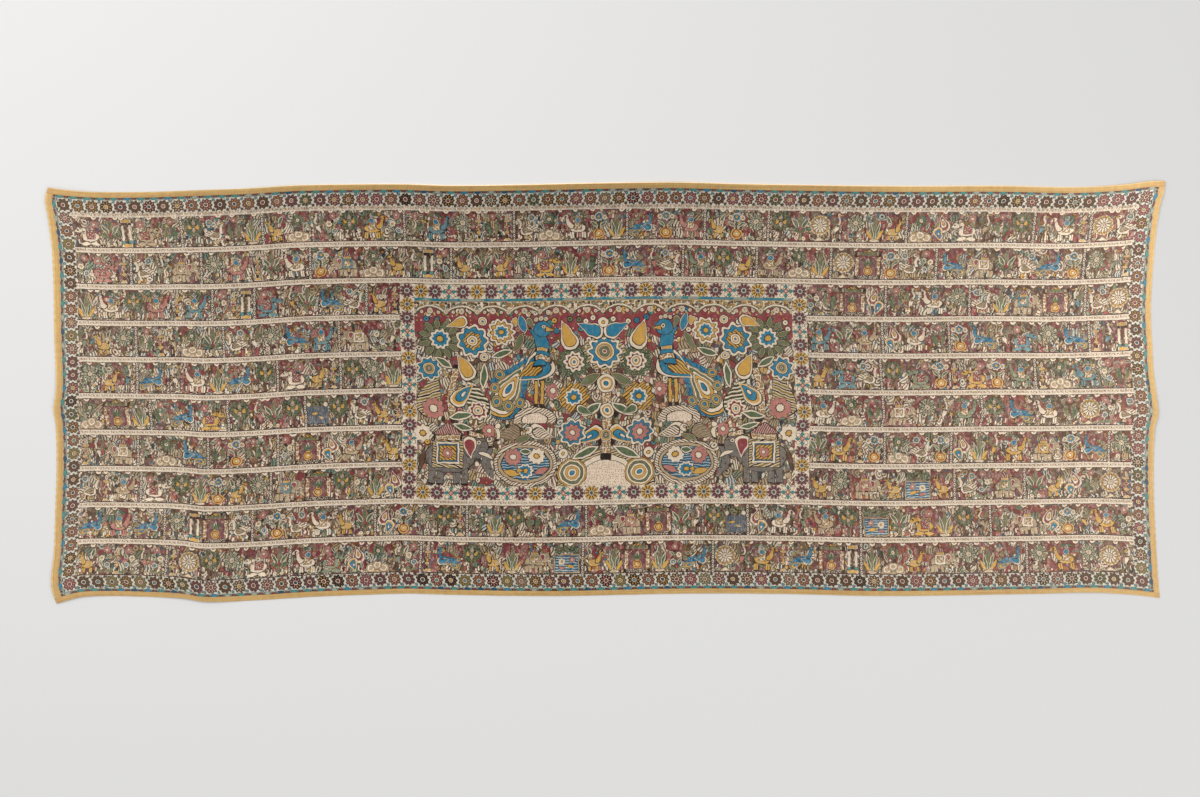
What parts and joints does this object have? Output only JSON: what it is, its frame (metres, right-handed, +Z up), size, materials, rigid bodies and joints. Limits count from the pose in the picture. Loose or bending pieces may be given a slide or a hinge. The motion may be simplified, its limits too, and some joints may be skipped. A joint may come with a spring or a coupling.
{
  "type": "kalamkari panel",
  "caption": "Long painted cotton cloth panel with bordered rows of small motifs and a turned ochre hem, lying flat, face up.",
  "frame": {"origin": "on the surface the cloth lies on, under the middle of its bounding box", "axes": "+X along the cloth's length, to the right in the design; +Y across it, towards the top of the design; +Z up, out of the painted face"},
  "size_m": [3.2464, 1.224, 0.0075],
  "materials": {
    "cloth": "matte dyed and painted cotton"
  },
  "bodies": {
    "root": {"cloth": "cloth"}
  },
  "joints": []
}
